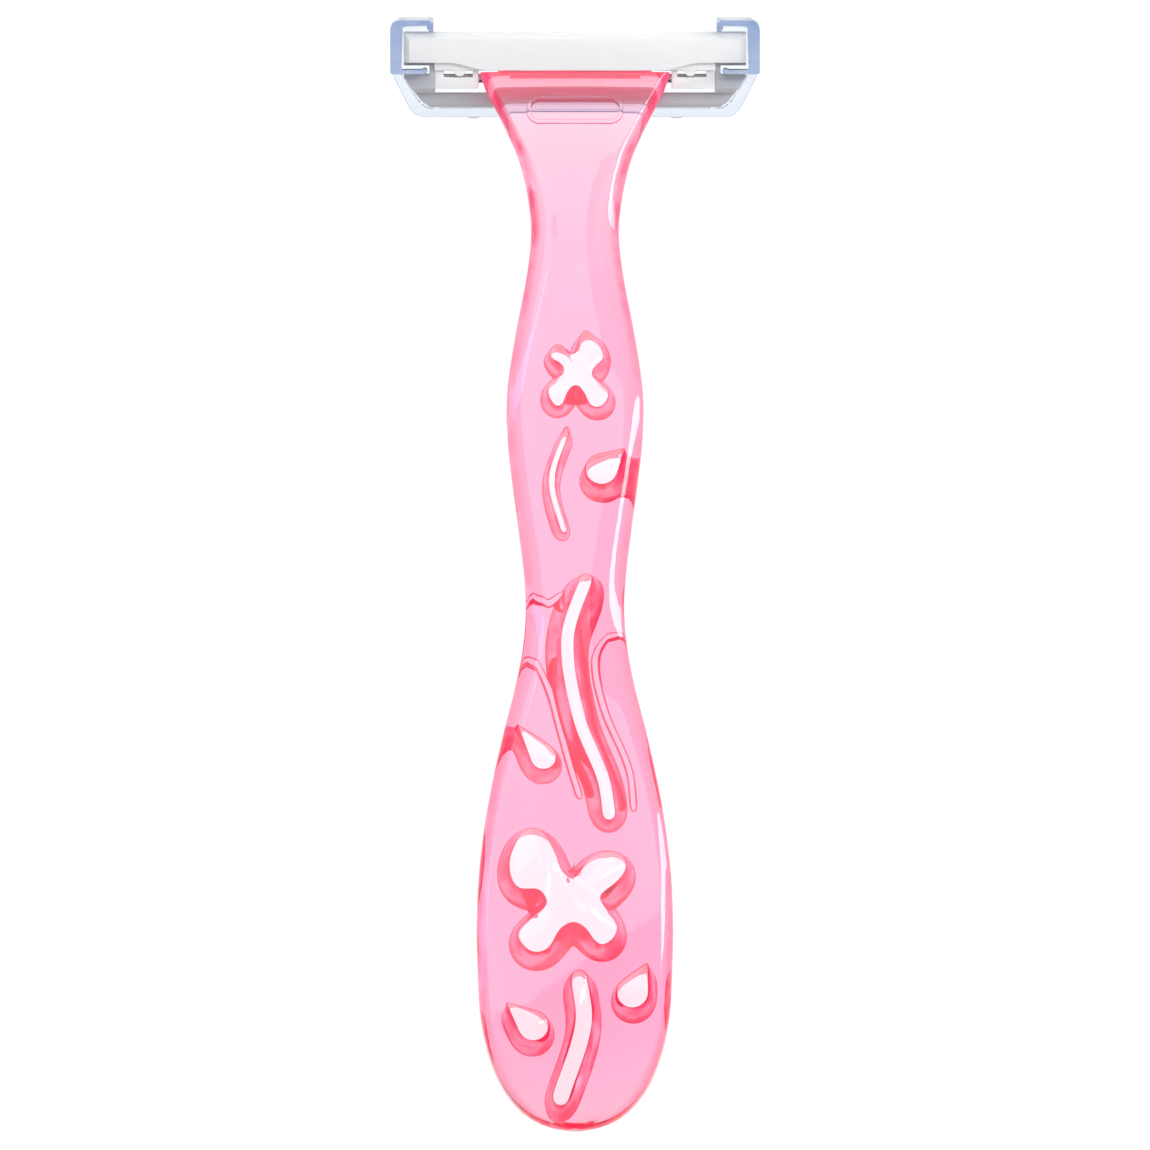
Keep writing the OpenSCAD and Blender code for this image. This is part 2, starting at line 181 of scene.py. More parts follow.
TIP_ANGLES = range(4, 80, 6)
STATION = 1.2
handle_ys = [PALM_Y - (PALM_Y - TIP_Y) * math.cos(math.radians(a)) for a in TIP_ANGLES]
handle_ys += [PALM_Y + STATION * n for n in range(int((FLARE_Y - PALM_Y) / STATION))] + [FLARE_Y]
handle_mesh = loft([section(y) for y in handle_ys])

# The head's own frame: X along the blades, Y from the guard to the cap, Z from the skin to the back.
HEAD_TILT = math.radians(20)
COVER_REACH, PLATE_OUT = 6.1, 2.8
HALF_LENGTH = 70
head_origin = Vector((0, HALF_LENGTH - COVER_REACH * math.cos(HEAD_TILT) - PLATE_OUT * math.sin(HEAD_TILT),
                      COVER_REACH * math.sin(HEAD_TILT) + PLATE_OUT * math.cos(HEAD_TILT))) * MM
AT_HEAD = Matrix.Translation(head_origin) @ Matrix.Rotation(HEAD_TILT, 4, "X") @ Matrix.Scale(MM, 4)
FLARE_END = -0.4

geometry = handle_mesh.verts[:] + handle_mesh.edges[:] + handle_mesh.faces[:]
end_normal = AT_HEAD.to_3x3() @ Vector((0, 1, 0))
bmesh.ops.bisect_plane(handle_mesh, geom=geometry, plane_co=AT_HEAD @ Vector((0, FLARE_END, 0)),
                       plane_no=end_normal.normalized(), clear_outer=True)
rim = [e for e in handle_mesh.edges if e.is_boundary]
end_face = bmesh.ops.holes_fill(handle_mesh, edges=rim, sides=0)["faces"]
bmesh.ops.bevel(handle_mesh, geom=end_face[0].edges[:], offset=0.3 * MM, segments=3, profile=0.5,
                affect="EDGES", material=-1, clamp_overlap=True)
handle = mesh_object("handle_moulding", handle_mesh)

FLOOR = 1.3
POINT_STEP = 0.42


def spline(keys, steps):
    """A closed smooth outline through given points."""
    n = len(keys)
    points = []
    for i in range(n):
        a, b, c, d = (Vector(keys[(i + m) % n]) for m in (-1, 0, 1, 2))
        for s in (j / steps for j in range(steps)):
            points.append((2 * b + (c - a) * s + (2 * a - 5 * b + 4 * c - d) * s**2
                           + (3 * b - a - 3 * c + d) * s**3) / 2)
    return points


def evened(outline):
    """The same outline, clockwise, with its points spread evenly."""
    area = sum(a.x * b.y - b.x * a.y for a, b in zip(outline, outline[1:] + outline[:1]))
    outline = outline[::-1] if area > 0 else outline
    closed = outline + outline[:1]
    lengths = [(b - a).length for a, b in zip(closed, closed[1:])]
    count = round(sum(lengths) / POINT_STEP)
    points, i, passed = [], 0, 0.0
    for n in range(count):
        place = sum(lengths) * n / count
        while passed + lengths[i] < place:
            passed += lengths[i]
            i += 1
        points.append(closed[i].lerp(closed[i + 1], (place - passed) / lengths[i]))
    return points


def grown(outline, distance):
    """The outline moved outwards in short steps, each evened out so that tight notches close cleanly."""
    steps = max(1, math.ceil(abs(distance) / 0.08))
    n = len(outline)
    for _ in range(steps):
        moved = []
        for i, p in enumerate(outline):
            along = outline[(i + 1) % n] - outline[i - 1]
            moved.append(p + Vector((-along.y, along.x)).normalized() * distance / steps)
        outline = [moved[i] * 0.6 + (moved[i - 1] + moved[(i + 1) % n]) * 0.2 for i in range(n)]
    return outline


def pocket(outline, draft, drop=0.0, shallow=None):
    """Cuts one pocket: a filleted floor near the back, or a shallow one, and walls that open up."""
    outline = evened(outline)

    def floor_at(y):
        return curve(y, FRONTS) + shallow if shallow else curve(y, BACKS) - CROWN - FLOOR

    fillet = 0.3 if shallow else 1
    rings = []
    for out, depth in ((-0.22, 0), (-0.08, 0.05), (0, 0.22)):
        rings.append([Vector((p.x, p.y, floor_at(p.y) - depth * fillet)) * MM
                      for p in grown(outline, out * fillet)])
    for share in (0.3, 0.65, 1.1):
        ring = []
        for p, q in zip(outline, grown(outline, draft * share)):
            high = floor_at(p.y)
            low = curve(p.y, FRONTS)
            ring.append(Vector((q.x, q.y - drop * share, high + (low - high) * share)) * MM)
        rings.append(ring)
    combine(handle, loft(rings), "DIFFERENCE")


PALM_FLOWER = [
    (0, -39.6), (1.6, -37.4), (3.6, -36.4), (5.6, -36.9), (6.2, -38.6), (5, -40.3),
    (3.1, -42), (4, -43.8), (5.1, -45.5), (4.7, -47.1), (3.3, -48), (2.2, -47.3), (1.3, -46),
    (-0.2, -45.2), (-1.8, -46.1), (-3.1, -48.3), (-4.8, -48.9), (-6.2, -48.1), (-6.9, -46.6), (-5.9, -45.1),
    (-3.5, -43), (-4.4, -41.2), (-6.6, -41.1), (-7.7, -39.8), (-7.9, -37.3), (-6.7, -34.4), (-5.3, -33.5),
    (-3.7, -34.2), (-2.4, -36.4), (-1.5, -38.8)]
NECK_FLOWER = [
    (-0.4, 25.6), (0.4, 26.4), (0.6, 27.8), (1.1, 28.8), (1.9, 28.4), (2.8, 27.2), (3.4, 26), (3.4, 24.9),
    (2.6, 24.2), (2.1, 23.1), (3, 22.1), (4, 21.4), (4, 20), (3, 18.9), (1.8, 19.2), (1.1, 20.7),
    (0.1, 21.7), (-0.9, 20.8), (-1.4, 19.4), (-2.3, 19), (-3.2, 20.3), (-3.3, 21.7), (-2.4, 22.5),
    (-1.4, 23.4), (-1.8, 24.5), (-2.8, 25), (-3.1, 26), (-2.3, 27), (-1.4, 26.7), (-0.9, 25.9)]


def leaf(centre, r, tip):
    """Outline of a teardrop leaf."""
    centre, tip = Vector(centre), Vector(tip)
    along = math.atan2(tip.y - centre.y, tip.x - centre.x)
    open_angle = math.acos(r / (tip - centre).length)
    turn = 2 * (math.pi - open_angle)
    angles = [along + open_angle + turn * n / 24 for n in range(25)]
    return [centre + r * Vector((math.cos(a), math.sin(a))) for a in angles] + [tip]


def stem(path, width):
    """Outline of a curved stem of constant width with round ends, its points listed by falling y."""
    keys = [(y, x) for x, y in reversed(path)]
    low, high = keys[0][0], keys[-1][0]
    count = round((high - low) / 0.6)
    line = [Vector((curve(y, keys), y)) for y in (low + (high - low) * n / count for n in range(count + 1))]
    right, left = [], []
    for i, p in enumerate(line):
        d = (line[min(i + 1, count)] - line[max(i - 1, 0)]).normalized() * width / 2
        right.append(p + Vector((d.y, -d.x)))
        left.append(p + Vector((-d.y, d.x)))
    ends = []
    for centre, inner in ((line[-1], line[-2]), (line[0], line[1])):
        way = math.atan2(centre.y - inner.y, centre.x - inner.x)
        ends.append([centre + width / 2 * Vector((math.cos(way + a), math.sin(way + a)))
                     for a in (math.radians(t) for t in range(-60, 61, 30))])
    return right + ends[0] + left[::-1] + ends[1]


pocket(spline(PALM_FLOWER, 4), 1.5, 0.2)
pocket(spline(NECK_FLOWER, 3), 1.0, 0.1)
pocket(leaf((3.2, 11.2), 2, (6.1, 13.9)), 1.0, 0.6)
pocket(leaf((-3.8, -24.8), 1.6, (-7, -20.6)), 1.1, 0.2)
pocket(leaf((6.9, -53.7), 1.95, (8.8, -49.9)), 1.0, 0.2)
pocket(leaf((-5, -57.7), 1.9, (-8.4, -54.8)), 1.0, 0.2)
pocket(stem([(-1, 16.2), (-2.8, 9.9), (-1.3, 3.5)], 0.9), 0.6)
pocket(stem([(1.3, -2.6), (-0.9, -10.2), (0.5, -20), (3.4, -27.5), (4.1, -31.9)], 1.6), 1.6)
pocket(stem([(0.5, -51.9), (1, -57.7), (-1.7, -66.2)], 2.1), 1.1)

# Shallow flowing lines beside the long stem and a curl at the waist, open on the front.
LINE_WIDTH, LINE_DRAFT, LINE_DEPTH, CURL_DEPTH = 0.6, 0.2, 0.9, 0.7
left_line = [(-4.6, -11.8), (-3, -15.5), (-1.9, -20), (-0.6, -25), (0.6, -29)]
right_line = [(5.2, -8.2), (3.2, -9.4), (2.2, -12.1), (3.4, -18.2), (6.4, -25.5), (7, -30.5)]
pocket(stem(left_line, LINE_WIDTH), LINE_DRAFT, shallow=LINE_DEPTH)
pocket(stem(right_line, LINE_WIDTH), LINE_DRAFT, shallow=LINE_DEPTH)
pocket(spline([(-4.4, -2.6), (-3.9, -4.4), (-2.9, -5.3), (-1.8, -4.6), (-1.2, -3.2), (-1.9, -3.8),
               (-2.9, -4.5), (-3.7, -3.9)], 4), LINE_DRAFT, shallow=CURL_DEPTH)


def prism(corners, low, high, edge=0.1, lengthwise=False):
    """A moulded bar in the head's frame: an outline of (a, b, rounding) corners pulled from low to high.

    The outline lies in the plane of the blades, or across them when the bar runs lengthwise along them.
    """
    points = []
    for i, (a, b, reach) in enumerate(corners):
        before, after = corners[i - 1], corners[(i + 1) % len(corners)]
        if reach:
            points += soft_corner(Vector(before[:2]), Vector((a, b)), Vector(after[:2]), reach)
        else:
            points.append(Vector((a, b)))
    bm = bmesh.new()
    face = bm.faces.new([bm.verts.new((p.x, p.y, low)) for p in points])
    pulled = bmesh.ops.extrude_face_region(bm, geom=[face])["geom"]
    top = [g for g in pulled if isinstance(g, bmesh.types.BMVert)]
    bmesh.ops.translate(bm, vec=(0, 0, high - low), verts=top)
    bmesh.ops.recalc_face_normals(bm, faces=bm.faces)
    if edge:
        ends = [e for e in bm.edges if e.verts[0].co.z == e.verts[1].co.z]
        bmesh.ops.bevel(bm, geom=ends, offset=edge, segments=3, profile=0.5, affect="EDGES", material=-1,
                        clamp_overlap=True)
    if lengthwise:
        bm.transform(Matrix(((0, 0, 1, 0), (1, 0, 0, 0), (0, 1, 0, 0), (0, 0, 0, 1))))
    bm.transform(AT_HEAD)
    return bm


# The tongue that plugs into the head, and a plain oval pad on the flare's back.
TONGUE_HALF, TONGUE_V, TONGUE_U = 8, (-1.4, 1.9), (3.3, 4.0)
combine(handle, prism([(-TONGUE_HALF, TONGUE_V[0], 0), (TONGUE_HALF, TONGUE_V[0], 0),
                       (TONGUE_HALF, TONGUE_V[1], 0.3), (-TONGUE_HALF, TONGUE_V[1], 0.3)],
                      *TONGUE_U, edge=0.08), "UNION")
PAD_Y, PAD_LENGTH, PAD_WIDTH, PAD_HEIGHT = 56.3, 12, 3.4, 0.6
PAD_SLOPE = math.radians(2.4)
PAD_RIM, PAD_DIP = 0.45, 0.14
PAD_ROOT, PAD_EDGE = 0.3, 0.1
pad = bmesh.new()
bmesh.ops.create_circle(pad, cap_ends=True, segments=48, radius=PAD_WIDTH / 2)
for vert in pad.verts:
    vert.co.x += math.copysign((PAD_LENGTH - PAD_WIDTH) / 2, vert.co.x)
raised = bmesh.ops.extrude_face_region(pad, geom=pad.faces[:])["geom"]
pad_top_verts = [g for g in raised if isinstance(g, bmesh.types.BMVert)]
bmesh.ops.translate(pad, vec=(0, 0, PAD_HEIGHT + PAD_ROOT), verts=pad_top_verts)
bmesh.ops.translate(pad, vec=(0, 0, -PAD_ROOT), verts=pad.verts)
bmesh.ops.recalc_face_normals(pad, faces=pad.faces)
pad_top = max(pad.faces, key=lambda f: f.calc_center_median().z)
bmesh.ops.inset_region(pad, faces=[pad_top], thickness=PAD_RIM)
bmesh.ops.inset_region(pad, faces=[pad_top], thickness=PAD_DIP, depth=-PAD_DIP)
tops = [e for e in pad.edges if min(vert.co.z for vert in e.verts) > PAD_HEIGHT - 0.01]
bmesh.ops.bevel(pad, geom=tops, offset=PAD_EDGE, segments=3, profile=0.5, affect="EDGES", material=-1,
                clamp_overlap=True)
pad_place = Vector((0, PAD_Y, curve(PAD_Y, BACKS) - CROWN)) * MM
pad.transform(Matrix.Translation(pad_place) @ Matrix.Rotation(PAD_SLOPE, 4, "X") @ Matrix.Scale(MM, 4))
combine(handle, pad, "UNION")
smooth(handle)
note_facing(handle)
from_side = handle.data.attributes.new("from_side", "FLOAT", "POINT")
for vert, entry in zip(handle.data.vertices, from_side.data):
    entry.value = half_width(max(min(vert.co.y / MM, FLARE_Y), TIP_Y + 0.01)) * MM - abs(vert.co.x)
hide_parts("handle")
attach(handle, "razor")


class Socket:
    """A value in a material; arithmetic on it adds Math nodes."""

    def __init__(self, tree, output):
        self.tree, self.output = tree, output

    def math(self, operation, first, second):
        node = self.tree.nodes.new("ShaderNodeMath")
        node.operation = operation
        for entry, value in zip(node.inputs, (first, second)):
            if isinstance(value, Socket):
                self.tree.links.new(value.output, entry)
            else:
                entry.default_value = value
        return Socket(self.tree, node.outputs[0])

    def __add__(self, other):
        return self.math("ADD", self, other)

    __radd__ = __add__

    def __mul__(self, other):
        return self.math("MULTIPLY", self, other)

    __rmul__ = __mul__

    def __sub__(self, other):
        return self.math("SUBTRACT", self, other)

    def __rsub__(self, other):
        return self.math("SUBTRACT", other, self)


class Finish:
    """A material under construction: a main shader, set by socket name, and any other nodes."""

    def __init__(self, name, **sockets):
        self.material = bpy.data.materials.new(name)
        self.material.use_nodes = True
        self.tree = self.material.node_tree
        self.shader = self.tree.nodes["Principled BSDF"]
        self.output = self.tree.nodes["Material Output"]
        self.fill(self.shader, {k.replace("_", " "): v for k, v in sockets.items()})

    def fill(self, node, values):
        """Sets a node's sockets to numbers, colours or links."""
        for key, value in values.items():
            if isinstance(value, Socket):
                self.tree.links.new(value.output, node.inputs[key])
            else:
                node.inputs[key].default_value = value

    def node(self, kind, settings=None, values=None, output=0):
        """Adds any node: its settings first, then its sockets."""
        made = self.tree.nodes.new("ShaderNode" + kind)
        for key, value in (settings or {}).items():
            setattr(made, key, value)
        self.fill(made, values or {})
        return Socket(self.tree, made.outputs[output])

    def noise(self, size_mm, detail=2, stretch=(1, 1, 1)):
        """Noise from 0 to 1 with blobs about size_mm across, longer where stretch is below 1."""
        place = self.node("Mapping", values={"Vector": self.node("TexCoord", output=3), "Scale": stretch})
        values = {"Vector": place, "Scale": 1 / (size_mm * MM), "Detail": detail}
        return self.node("TexNoise", values=values)

    def blend(self, share, first, second):
        """A colour between two others."""
        first, second = (c if isinstance(c, Socket) else (*c, 1) for c in (first, second))
        values = {0: share, 6: first, 7: second}
        return self.node("Mix", {"data_type": "RGBA"}, values, output=2)

    def bump(self, height, depth_mm):
        """Relief of the given depth."""
        values = {"Height": height, "Distance": depth_mm * MM}
        self.fill(self.shader, {"Normal": self.node("Bump", values=values)})

    def across(self, axis):
        """The place along one of the object's own axes, in metres."""
        return self.node("SeparateXYZ", values={0: self.node("TexCoord", output=3)}, output=axis)

    def facing(self):
        """What note_facing stored: 1 on faces that look up, -1 on faces that look down."""
        return self.node("Attribute", {"attribute_name": "facing"}, output=2)

    def steep(self):
        """1 on walls that stand upright, falling to 0 on faces that look up or down."""
        facing = self.facing()
        return 1 - facing.math("ABSOLUTE", facing, 0.0)

    def spread(self, value, low, high, first, last):
        """Carries a value from one range to another and stops at its ends."""
        return self.node("MapRange", values={0: value, 1: low, 2: high, 3: first, 4: last})

    def mix_in_painted_glow(self, share, colour, glow_colour, glow, roughness):
        """Lets a share of a second, unclear shader show: a painted colour and a painted glow (emission)
        standing in for light caught in the plastic.
        """
        values = {"Base Color": colour, "Roughness": roughness,
                  "Emission Color": glow_colour, "Emission Strength": glow}
        other = self.node("BsdfPrincipled", values=values)
        main = Socket(self.tree, self.shader.outputs[0])
        mixed = self.node("MixShader", values={0: share, 1: main, 2: other})
        self.tree.links.new(mixed.output, self.output.inputs["Surface"])

    def inside(self, colour, density):
        """Colours the light by how far it goes through the plastic."""
        depth = self.node("VolumeAbsorption", values={"Color": (*colour, 1), "Density": density})
        self.tree.links.new(depth.output, self.output.inputs["Volume"])

    def on(self, *pieces):
        """Gives the material to pieces."""
        for piece in pieces:
            piece.data.materials.clear()
            piece.data.materials.append(self.material)


# Painted light: the upright walls get a painted deeper, mottled pink and a painted glow (emission) that
# stand
# in for light caught in the plastic: most at the pockets' rims, along the edges and at the flare's end. A
# painted dark line (painted shade) runs round each pocket's floor.
PLASTIC_IOR = 1.49
FRONT_AT_WAIST, FRONT_RISE = 1.55, 0.03
PAINTED_WALL_PINK, PAINTED_SHADE_PINK = (0.84, 0.015, 0.13), (0.36, 0.002, 0.035)
PAINTED_WALL_GLOW, PAINTED_SHADE_GLOW, PAINTED_FLARE_GLOW = (0.52, 0.01, 0.08), (0.22, 0.0012, 0.021), (1.0, 0.1, 0.2)
PAINTED_GLOW_STRENGTH, WALL_ROUGHNESS = 0.9, 0.25
clear_pink = Finish("clear_pink_moulding", Transmission_Weight=1.0, IOR=PLASTIC_IOR)
facing, along = clear_pink.facing(), clear_pink.across(1)
side_distance = clear_pink.node("Attribute", {"attribute_name": "from_side"}, output=2)
above_front = clear_pink.across(2) - (FRONT_AT_WAIST * MM + along * FRONT_RISE)
mottle = clear_pink.spread(clear_pink.noise(3.5), 0.38, 0.62, 0.45, 0.95)
# Near each pocket's open front: the painted glow is strongest here and the painted shade darkest.
rim = clear_pink.spread(above_front, 0.4 * MM, 1.8 * MM, 0.45, 0.0)
flare_end = clear_pink.spread(along, 57 * MM, 61.5 * MM, 0.0, 0.6)
inner = clear_pink.spread(side_distance, 0.1 * MM, 1.3 * MM, 0.12, 1.0)
# Painted glow and painted shade in a band along the handle's edges, mostly on the neck.
painted_edge_band = (clear_pink.spread(side_distance, 0.5 * MM, 1.3 * MM, 0.9, 0.0)
          * clear_pink.spread(along, 20 * MM, 45 * MM, 0.25, 1.0) * mottle)
# Painted glow on the downward faces at the flare's end.
painted_end_glow = flare_end * clear_pink.spread(facing, -0.3, 0.0, 1.0, 0.0)
front_walls = clear_pink.spread(facing, -0.96, -0.75, 0.0, 1.0)
back_walls = clear_pink.spread(facing, 0.15, 0.6, 1.0, 0.0)
painted_pocket_walls = front_walls.math("MINIMUM", front_walls, back_walls) * (mottle + rim + flare_end) * inner
painted_wall_share = painted_pocket_walls.math("MAXIMUM", painted_pocket_walls, painted_edge_band.math("MAXIMUM", painted_edge_band, painted_end_glow))
# Painted shade: a dark line round each pocket's floor.
painted_floor_edge_shade = (clear_pink.spread(facing, -0.97, -0.85, 0.0, 1.0)
              * clear_pink.spread(facing, -0.5, -0.3, 1.0, 0.0)
              * clear_pink.spread(above_front, 4.2 * MM, 4.8 * MM, 0.0, 1.0))
painted_shade_share = painted_floor_edge_shade + rim * 0.7 + painted_edge_band * 0.5
painted_glow_colour = clear_pink.blend(painted_shade_share, PAINTED_WALL_GLOW, PAINTED_SHADE_GLOW)
clear_pink.mix_in_painted_glow(painted_wall_share, clear_pink.blend(painted_shade_share, PAINTED_WALL_PINK, PAINTED_SHADE_PINK),
                  clear_pink.blend(flare_end * 1.6, painted_glow_colour, PAINTED_FLARE_GLOW), PAINTED_GLOW_STRENGTH, WALL_ROUGHNESS)
# Painted shade: the base colour turns a deeper pink on upright faces, wherever they stand.
painted_wall_shade = clear_pink.steep() * (0.7 + clear_pink.noise(9.0) * 0.5)
clear_pink.fill(clear_pink.shader, {
    "Roughness": 0.015 + clear_pink.noise(5.0) * 0.03,
    "Base Color": clear_pink.blend(painted_wall_shade, (1, 0.97, 0.985), (0.86, 0.05, 0.16))})
clear_pink.inside((0.985, 0.06, 0.47), 120.0)
clear_pink.bump(clear_pink.noise(7.0, 1), 0.015)
clear_pink.on(handle)

# --- Head base --------------------------------------------------------------------------------
# White moulded platform behind the blades: the socket that takes the handle's tongue, a rail to each side
# of it, two posts, two legs and the lugs that lie on the frame's end blocks. It clips into the frame.


def softened(node, radius, segments=2):
    """A copy of a CAD node's mesh with its facets merged and its edges rounded."""
    bm = bmesh.new()
    bm.from_mesh(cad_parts[node].data)
    bmesh.ops.remove_doubles(bm, verts=bm.verts, dist=MM / 1000)
    bmesh.ops.dissolve_limit(bm, angle_limit=math.radians(1), verts=bm.verts, edges=bm.edges)
    sharp = [e for e in bm.edges if e.is_manifold and e.calc_face_angle() > math.radians(25)]
    bmesh.ops.bevel(bm, geom=sharp, offset=radius * MM, segments=segments, profile=0.5, affect="EDGES",
                    material=-1, clamp_overlap=True)
    piece = mesh_object(node + "_moulding", bm)
    smooth(piece)
    return piece


def stands_for(piece, node, body):
    """Puts a piece in the place of a CAD node."""
    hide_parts(node)
    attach(piece, body)


base = softened("head_base", 0.12)
stands_for(base, "head_base", "razor")
white_plastic = Finish("white_satin_plastic", Specular_IOR_Level=0.4)
white_plastic.fill(white_plastic.shader, {
    "Base Color": white_plastic.blend(white_plastic.noise(3.0), (0.86, 0.86, 0.865), (0.9, 0.9, 0.9)),
    "Roughness": 0.3 + white_plastic.noise(0.8) * 0.12})
white_plastic.bump(white_plastic.noise(0.25, 3), 0.004)
white_plastic.on(base)

# --- Front frame ------------------------------------------------------------------------------
# Grey moulding with the guard bar along its front and a block at each end, slotted for the blade supports
# and notched for the cover's hooks. The base clips in from behind.

front = softened("front_frame", 0.1)
stands_for(front, "front_frame", "razor")
grey_plastic = Finish("grey_satin_plastic")
grey_plastic.fill(grey_plastic.shader, {
    "Base Color": grey_plastic.blend(grey_plastic.noise(2.5), (0.46, 0.475, 0.51), (0.52, 0.53, 0.56)),
    "Roughness": 0.34 + grey_plastic.noise(0.7) * 0.12})
grey_plastic.bump(grey_plastic.noise(0.3, 3), 0.004)
grey_plastic.on(front)

# --- Guard strip ------------------------------------------------------------------------------
# Soft rubber pad moulded into the guard bar, with a row of thin upright fins that stretch the skin
# ahead of the blades.

STRIP_HALF = 17.7
GUARD_V = (-4.45, -3.45)
FIN_STEP, FIN_COUNT, FIN_TOP = 0.32, 3, 0.0
GUARD_U = (0.45, 1.1)
guard = mesh_object("guard_rubber_strip", prism(
    [(GUARD_V[0], GUARD_U[0], 0.05), (GUARD_V[1], GUARD_U[0], 0.05), (GUARD_V[1], GUARD_U[1], 0.05),
     (GUARD_V[0], GUARD_U[1], 0.05)],
    -STRIP_HALF, STRIP_HALF, 0.05, lengthwise=True))
for n in range(FIN_COUNT):
    v = GUARD_V[0] + 0.1 + FIN_STEP * n
    fin = prism([(v - 0.02, 0.55, 0), (v + 0.04, FIN_TOP, 0.05), (v + 0.21, FIN_TOP, 0.05),
                 (v + 0.27, 0.55, 0)],
                -STRIP_HALF + 0.2, STRIP_HALF - 0.2, 0.06, lengthwise=True)
    combine(guard, fin, "UNION")
smooth(guard)
stands_for(guard, "guard_strip", "razor")
rubber = Finish("guard_rubber", Specular_IOR_Level=0.3)
rubber.fill(rubber.shader, {
    "Base Color": rubber.blend(rubber.noise(1.5), (0.52, 0.54, 0.6), (0.6, 0.62, 0.67)),
    "Roughness": 0.6 + rubber.noise(0.4) * 0.2})
rubber.bump(rubber.noise(0.12, 3), 0.006)
rubber.on(guard)

# --- Blades -----------------------------------------------------------------------------------
# Three strips of hardened steel, 0.1 mm thick, ground to an edge and honed. Each is spot-welded along
# its support at small round welds.

BLADE_EDGES = (-1.9, -0.4, 1.1)
BLADE_HALF, BLADE_WIDTH, BLADE_THICK = 17.2, 1.15, 0.1
BLADE_TILT = math.radians(22)
GRIND, HONE = 0.25, 0.05
WELD_COUNT, WELD_SPAN, WELD_V, WELD_RADIUS = 13, 15.6, 0.72, 0.17

strip_steel = Finish("blade_strip_steel", Metallic=1.0)
strip_steel.fill(strip_steel.shader, {
    "Base Color": strip_steel.blend(strip_steel.noise(0.05, 2, (0.02, 1, 1)), (0.5, 0.51, 0.53),
                                    (0.66, 0.67, 0.69)),
    "Roughness": 0.24 + strip_steel.noise(0.08, 2, (0.02, 1, 1)) * 0.2})
strip_steel.bump(strip_steel.noise(0.04, 2, (0.02, 1, 1)), 0.002)
ground_steel = Finish("blade_ground_steel", Metallic=1.0)
ground_steel.fill(ground_steel.shader, {
    "Base Color": ground_steel.blend(ground_steel.noise(0.06, 2, (1, 0.1, 0.1)), (0.74, 0.75, 0.77),
                                     (0.86, 0.87, 0.88)),
    "Roughness": 0.12 + ground_steel.noise(0.1) * 0.1})

for n, edge_v in enumerate(BLADE_EDGES, start=1):
    blade = prism([(0, BLADE_THICK * 0.45, 0), (HONE, BLADE_THICK * 0.32, 0), (GRIND, 0, 0),
                   (BLADE_WIDTH, 0, 0), (BLADE_WIDTH, BLADE_THICK, 0), (GRIND, BLADE_THICK, 0),
                   (HONE, BLADE_THICK * 0.66, 0)],
                  -BLADE_HALF, BLADE_HALF, 0, lengthwise=True)
    at_edge = AT_HEAD @ Matrix.Translation((0, edge_v, 0)) @ Matrix.Rotation(BLADE_TILT, 4, "X")
    blade.transform(at_edge @ AT_HEAD.inverted())
    piece = mesh_object(f"blade_{n}_strip", blade)
    for w in range(WELD_COUNT):
        weld = bmesh.new()
        bmesh.ops.create_uvsphere(weld, u_segments=16, v_segments=8, radius=WELD_RADIUS)
        flat = Matrix.Diagonal((1, 1, 0.12, 1))
        x = WELD_SPAN * (2 * w / (WELD_COUNT - 1) - 1)
        weld.transform(at_edge @ Matrix.Translation((x, WELD_V, 0)) @ flat)
        combine(piece, weld, "UNION")
    strip_steel.on(piece)
    piece.data.materials.append(ground_steel.material)
    to_blade = at_edge.inverted()
    for face in piece.data.polygons:
        face.material_index = 1 if (to_blade @ face.center).y < GRIND - 0.01 else 0
    smooth(piece, 8)
    stands_for(piece, f"blade_{n}", f"blade_unit_{n}")

# --- Blade supports ---------------------------------------------------------------------------
# Steel strip bent to an L: the blade lies on the sloping shelf, and the leg stands in the slots of the
# frame's end blocks, free to slide, with its foot on the spring fingers.

support_steel = Finish("support_strip_steel", Metallic=1.0)
support_steel.fill(support_steel.shader, {
    "Base Color": support_steel.blend(support_steel.noise(0.07, 2, (0.03, 1, 1)), (0.38, 0.39, 0.41),
                                      (0.52, 0.53, 0.55)),
    "Roughness": 0.32 + support_steel.noise(0.1, 2, (0.03, 1, 1)) * 0.2})
support_steel.bump(support_steel.noise(0.06, 2, (0.03, 1, 1)), 0.002)
for n in (1, 2, 3):
    support = softened(f"blade_support_{n}", 0.07)
    stands_for(support, f"blade_support_{n}", f"blade_unit_{n}")
    support_steel.on(support)

# --- Spring fingers ---------------------------------------------------------------------------
# Small plastic fingers, one pair to a blade, that press its support towards the skin.

finger_plastic = Finish("finger_plastic")
finger_plastic.fill(finger_plastic.shader, {
    "Base Color": finger_plastic.blend(finger_plastic.noise(1.0), (0.74, 0.75, 0.77), (0.8, 0.81, 0.82)),
    "Roughness": 0.36 + finger_plastic.noise(0.5) * 0.12})
finger_plastic.bump(finger_plastic.noise(0.2, 3), 0.003)
for n in (1, 2, 3):
    fingers = softened(f"spring_fingers_{n}", 0.1)
    stands_for(fingers, f"spring_fingers_{n}", f"blade_unit_{n}")
    finger_plastic.on(fingers)

# --- Cap --------------------------------------------------------------------------------------
# White moulded band that closes the head along its far edge and back and clips over the base with two
# small hooks. Its lower edge sweeps down to the handle; the strip's seat is on the skin side.

cap = softened("head_cap", 0.16, 3)
stands_for(cap, "head_cap", "razor")
white_plastic.on(cap)

# --- Lubricating strip ------------------------------------------------------------------------
# Waxy polymer strip bonded into the seat in the cap's skin side, slightly crowned, with a fine drawn
# texture from extrusion.

